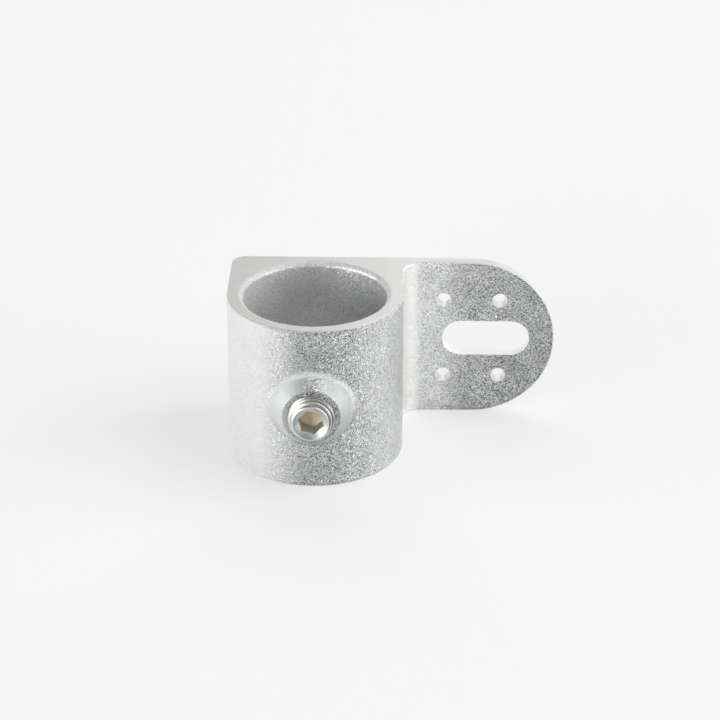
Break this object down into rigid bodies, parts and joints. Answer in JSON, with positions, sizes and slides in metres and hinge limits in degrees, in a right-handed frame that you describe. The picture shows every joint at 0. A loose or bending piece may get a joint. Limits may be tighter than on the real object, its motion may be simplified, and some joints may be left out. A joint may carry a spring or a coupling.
{
  "type": "scaffold tube clamp",
  "caption": "Cast tube clamp: a round-fronted, flat-backed sleeve gripped by a socket set screw, with a slotted and drilled lug plate for fixing boards or panels.",
  "frame": {"origin": "on the axis of the tube bore, at mid-height", "axes": "+Z along the tube, +X towards the lug plate, +Y out of the flat back; the set screw enters from -Y"},
  "size_m": [0.1161, 0.0704, 0.06],
  "materials": {
    "galvanised_iron": "hot-dip galvanised casting with a fine sandy grain",
    "zinc_plated_steel": "bright zinc plating"
  },
  "bodies": {
    "casting": {"clamp_casting": "galvanised_iron"},
    "screw": {"set_screw": "zinc_plated_steel"}
  },
  "joints": [
    {"name": "set_screw_travel", "type": "slide", "parent": "casting", "child": "screw", "axis": [0, 1, 0], "range_m": [-0.0072, 0.0019]}
  ]
}
